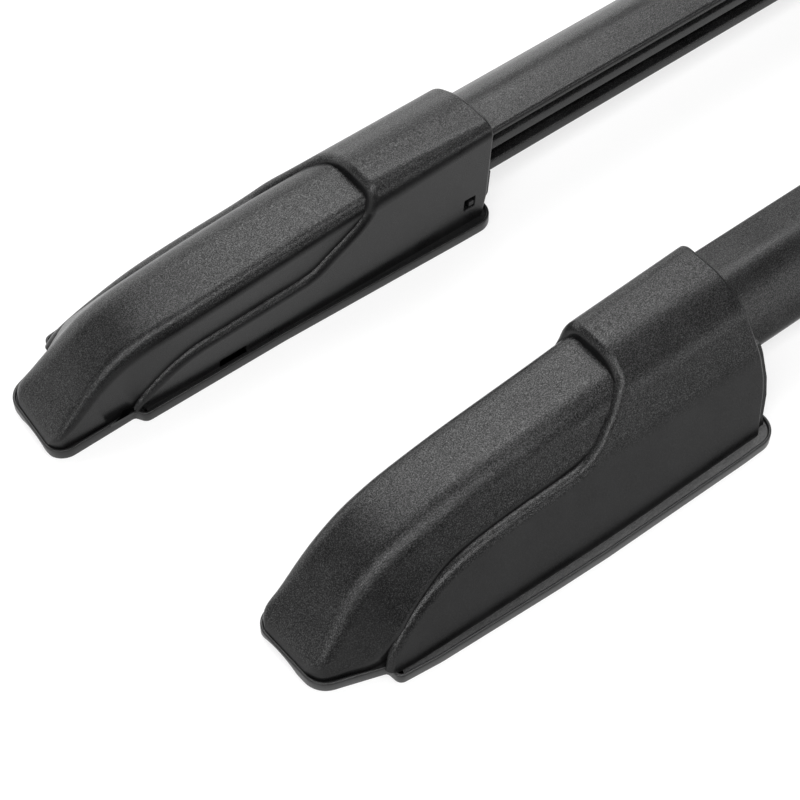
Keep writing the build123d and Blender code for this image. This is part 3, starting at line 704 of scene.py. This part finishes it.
def gasket_piece(foot):
    v, faces = [], []
    floor = np.full(len(g_p), 3.9)
    low = arch(g_p[:, 0], g_p[:, 1])
    prof = [(0.45, None, 0.0), (0.12, None, 0.12), (0.0, None, 0.45), (0.0, 3.6, 0), (0.0, 4.3, 0), (0.07, 4.6, 0), (0.22, 4.8, 0), (0.45, 4.89, 0), (0.8, 4.89, 0), (1.05, 4.8, 0), (1.22, 4.6, 0), (1.3, 4.3, 0), (1.36, "f", 0.0), (8.0, "f", 0.0)]
    n = len(g_p)
    for e, z, lift in prof:
        q = g_p + g_n * e
        if z is None:
            zz = low + lift
        elif z == "f":
            zz = floor
        else:
            zz = np.full(n, float(z))
        v.append(np.concatenate([q, zz[:, None]], 1))
    rows = len(prof)
    for i in range(rows - 1):
        for j in range(n):
            kx = (j + 1) % n
            faces.append([i * n + j, i * n + kx, (i + 1) * n + kx, (i + 1) * n + j])
    v = np.concatenate(v)
    # underside with the two bolt holes, and the arch in front
    q = g_p + g_n * 0.45
    in_arch = arch(q[:, 0], q[:, 1]) > 0.02
    start = int(np.nonzero(in_arch & ~np.roll(in_arch, 1))[0][0])
    order = (np.arange(n) + start) % n
    ring = [i for i in order if not in_arch[i]]
    outer = [Vector((q[i, 0], q[i, 1], 0)) for i in ring]
    o_last, o_first = q[ring[-1], 1], q[ring[0], 1]
    outer += [Vector((-20.0, o_last, 0)), Vector((-20.0, o_first, 0))]
    loops = [outer]
    holes = []
    for bu in (28.0, 78.0):
        a = np.linspace(0, 2 * math.pi, 40, endpoint=False)
        holes.append(np.stack([bu + 3.4 * np.cos(a), 4.0 + 3.4 * np.sin(a)], 1))
        loops.append([Vector((x, y, 0)) for x, y in holes[-1]])
    tri = tessellate_polygon(loops)
    allp = np.array([[p.x, p.y, 0.0] for loop in loops for p in loop])
    base = len(v)
    v = np.concatenate([v, allp])
    faces += [[base + i for i in t] for t in tri]
    for h in holes:
        base = len(v)
        m = len(h)
        v = np.concatenate([v, np.concatenate([h, np.zeros((m, 1))], 1), np.concatenate([h, np.full((m, 1), 9.0)], 1)])
        faces += [[base + i, base + (i + 1) % m, base + m + (i + 1) % m, base + m + i] for i in range(m)]
    oo = np.linspace(min(o_first, o_last), max(o_first, o_last), 24)
    h = arch(np.full(24, -25.0), oo)
    front_u = np.interp(oo, np.sort(q[in_arch, 1]), q[in_arch, 0][np.argsort(q[in_arch, 1])])
    base = len(v)
    v = np.concatenate([v, np.stack([front_u, oo, h], 1), np.stack([np.full(24, -20.0), oo, h], 1), np.stack([np.full(24, -20.0), oo, 0 * oo], 1)])
    for i in range(23):
        faces.append([base + i, base + i + 1, base + 24 + i + 1, base + 24 + i])
        faces.append([base + 24 + i, base + 24 + i + 1, base + 48 + i + 1, base + 48 + i])
    w = world(v, foot)
    name = foot + "_base_gasket_v"
    ob = finish_piece(name, w, faces, None, M_GASKET, foot + "_base_gasket", sharp=48)
    bm = bmesh.new()
    bm.from_mesh(ob.data)
    bmesh.ops.remove_doubles(bm, verts=bm.verts, dist=1e-6)
    bmesh.ops.recalc_face_normals(bm, faces=bm.faces)
    bm.to_mesh(ob.data)
    bm.free()
    ob.data.set_sharp_from_angle(angle=math.radians(48))
    return ob


# ------------------------------------------------------------------ rail
R_PTS = [(-20.6, 26.4), (14.9, 27.0), (17.5, 32.0), (12.2, 40.2), (4.4, 48.0), (-3.5, 52.6), (-21.3, 49.8), (-21.3, 47.0), (-17.8, 46.2), (-17.8, 42.2), (-19.8, 41.6), (-19.8, 37.2), (-12.8, 37.2), (-12.8, 31.8), (-20.6, 31.8)]
R_RAD = [1.0, 2.5, 5.0, 36.0, 28.0, 14.0, 1.6, 0.8, 0.3, 0.3, 0.4, 0.6, 0.4, 0.4, 0.8]


def rail_piece(side):
    pts = [np.array(p) for p in R_PTS]
    path = []
    n = len(pts)
    for i in range(n):
        a, b, c = pts[i - 1], pts[i], pts[(i + 1) % n]
        d1, d2 = unit(a - b), unit(c - b)
        phi = math.acos(float(np.clip(d1 @ d2, -1, 1)))
        r = R_RAD[i]
        t = r / math.tan(phi / 2)
        cen = b + unit(d1 + d2) * (r / math.sin(phi / 2))
        s1, s2, w = (b + d1 * t - cen) / r, (b + d2 * t - cen) / r, math.pi - phi
        cnt = 20 if r > 5 else 9 if r > 1.2 else 6
        for q in np.linspace(0, 1, cnt):
            path.append(cen + r * (math.sin((1 - q) * w) * s1 + math.sin(q * w) * s2) / math.sin(w))
    path = np.array(path)
    tan = unit(np.roll(path, -1, 0) - np.roll(path, 1, 0))
    nrm = np.stack([tan[:, 1], -tan[:, 0]], 1)
    if (nrm * (path - path.mean(0))).sum() < 0:
        nrm = -nrm
    u_end = 2 * (MID - XN) - 126.0
    us = np.linspace(126.0, u_end, 61)
    m = len(path)
    p = np.stack([np.concatenate([np.full((m, 1), u), path], 1) for u in us])
    w = world(p.reshape(-1, 3), side + "_front")
    faces = []
    for i in range(len(us) - 1):
        for j in range(m):
            kx = (j + 1) % m
            faces.append([i * m + j, i * m + kx, (i + 1) * m + kx, (i + 1) * m + j])
    faces.append(list(range(m)))
    faces.append(list(range((len(us) - 1) * m, len(us) * m)))
    ob = finish_piece(side + "_rail_v", w, faces, None, M_RAIL, side + "_rail", sharp=32)
    bm = bmesh.new()
    bm.from_mesh(ob.data)
    bmesh.ops.recalc_face_normals(bm, faces=bm.faces)
    bm.to_mesh(ob.data)
    bm.free()
    ob.data.set_sharp_from_angle(angle=math.radians(32))
    return ob


# ------------------------------------------------------------------ assembly
for foot in FEET:
    cover_soup().build(foot + "_nose_cover_v", foot, M_COVER, "housing_plastic", foot + "_nose_cover")
    house_soup().build(foot + "_foot_housing_v", foot, M_HOUSING, "housing_plastic", foot + "_foot_housing")
    gasket_piece(foot)
for side in ("left", "right"):
    rail_piece(side)

for name, ob in frame["nodes"].items():
    mat = None
    if name.endswith("foot_bracket"):
        mat = M_CAST
    elif name.endswith("screws"):
        mat = M_SCREW
    elif name.endswith("rear_closure"):
        mat = M_CLOSURE
    if mat:
        ob.data.materials.clear()
        ob.data.materials.append(mat)
        if mat is M_CLOSURE:
            bev = ob.modifiers.new("soft_edges", "BEVEL")
            bev.width = 0.0004
            bev.segments = 2
            bev.limit_method = "ANGLE"
            bev.angle_limit = math.radians(35)

# ------------------------------------------------------------------ floor, light, camera
fm = bpy.data.meshes.new("floor")
fm.from_pydata([(-40, -40, -0.0004), (40, -40, -0.0004), (40, 40, -0.0004), (-40, 40, -0.0004)], [], [[0, 1, 2, 3]])
floor = bpy.data.objects.new("floor", fm)
bpy.context.scene.collection.objects.link(floor)
fmat = bpy.data.materials.new("floor_paper")
fmat.use_nodes = True
fn, fl = fmat.node_tree.nodes, fmat.node_tree.links
fb = fn["Principled BSDF"]
fb.inputs["Roughness"].default_value = 0.9
fb.inputs["Specular IOR Level"].default_value = 0.1
fb.inputs["Emission Color"].default_value = (1, 1, 1, 1)
fb.inputs["Emission Strength"].default_value = 0.66
ft = fn.new("ShaderNodeTexNoise")
ft.inputs["Scale"].default_value = 3.0
fx = fn.new("ShaderNodeMix")
fx.data_type = "RGBA"
fx.inputs["A"].default_value = (0.34, 0.34, 0.34, 1)
fx.inputs["B"].default_value = (0.36, 0.36, 0.36, 1)
fl.new(ft.outputs["Fac"], fx.inputs["Factor"])
fl.new(fx.outputs["Result"], fb.inputs["Base Color"])
fm.materials.append(fmat)

world_data = bpy.data.worlds.new("studio")
bpy.context.scene.world = world_data
world_data.use_nodes = True
wn, wl = world_data.node_tree.nodes, world_data.node_tree.links
bg = wn["Background"]
bg.inputs["Color"].default_value = (1, 1, 1, 1)
# pale near the horizon, dim overhead
wt = wn.new("ShaderNodeTexCoord")
ws = wn.new("ShaderNodeSeparateXYZ")
wr = wn.new("ShaderNodeMapRange")
wr.inputs["From Min"].default_value = 0.0
wr.inputs["From Max"].default_value = 0.3
wr.inputs["To Min"].default_value = 0.45
wr.inputs["To Max"].default_value = 0.17
wl.new(wt.outputs["Generated"], ws.inputs["Vector"])
wl.new(ws.outputs["Z"], wr.inputs["Value"])
# brighter towards the backdrop behind the rails
wy = wn.new("ShaderNodeMapRange")
wy.inputs["From Min"].default_value = 0.52
wy.inputs["From Max"].default_value = 0.84
wy.inputs["To Min"].default_value = 0.0
wy.inputs["To Max"].default_value = 2.0
wl.new(ws.outputs["Y"], wy.inputs["Value"])
wa = wn.new("ShaderNodeMath")
wl.new(wr.outputs["Result"], wa.inputs[0])
wl.new(wy.outputs["Result"], wa.inputs[1])
# and a little in front of the noses
wx = wn.new("ShaderNodeMapRange")
wx.inputs["From Min"].default_value = -0.95
wx.inputs["From Max"].default_value = -0.6
wx.inputs["To Min"].default_value = 0.75
wx.inputs["To Max"].default_value = 0.0
wl.new(ws.outputs["X"], wx.inputs["Value"])
wb = wn.new("ShaderNodeMath")
wl.new(wa.outputs["Value"], wb.inputs[0])
wl.new(wx.outputs["Result"], wb.inputs[1])
wl.new(wb.outputs["Value"], bg.inputs["Strength"])


def softbox(name, place, target, size, power):
    ld = bpy.data.lights.new(name, "AREA")
    ld.shape = "RECTANGLE"
    ld.size, ld.size_y = size
    ld.energy = power
    ob = bpy.data.objects.new(name, ld)
    bpy.context.scene.collection.objects.link(ob)
    ob.location = place
    ob.rotation_euler = (Vector(target) - Vector(place)).to_track_quat("-Z", "Y").to_euler()
    ob.visible_camera = False
    return ob


softbox("key", (0.12, 0.83, 1.86), (-0.35, 0.06, 0.03), (1.7, 0.92), 34)
softbox("strip", (-2.1, -0.68, 1.5), (-2.1, -0.06, 0.03), (3.9, 0.35), 44)
softbox("side", (0.32, -1.3, 0.62), (-0.5, -0.05, 0.03), (1.2, 0.3), 6)

cam_data = bpy.data.cameras.new("camera")
cam_data.sensor_width = 36.0
cam_data.sensor_fit = "HORIZONTAL"
cam_data.lens = 90.0
cam_data.clip_start = 0.01
cam = bpy.data.objects.new("camera", cam_data)
bpy.context.scene.collection.objects.link(cam)
right, up, back = (0.78857, -0.61495, 0.0), (0.49671, 0.63694, 0.58957), (-0.36256, -0.46492, 0.80772)
cam.matrix_world = Matrix(
    (
        (right[0], up[0], back[0], -0.9153),
        (right[1], up[1], back[1], -0.3586),
        (right[2], up[2], back[2], 0.615),
        (0, 0, 0, 1),
    )
)
bpy.context.scene.camera = cam
bpy.context.scene.view_settings.view_transform = "Standard"
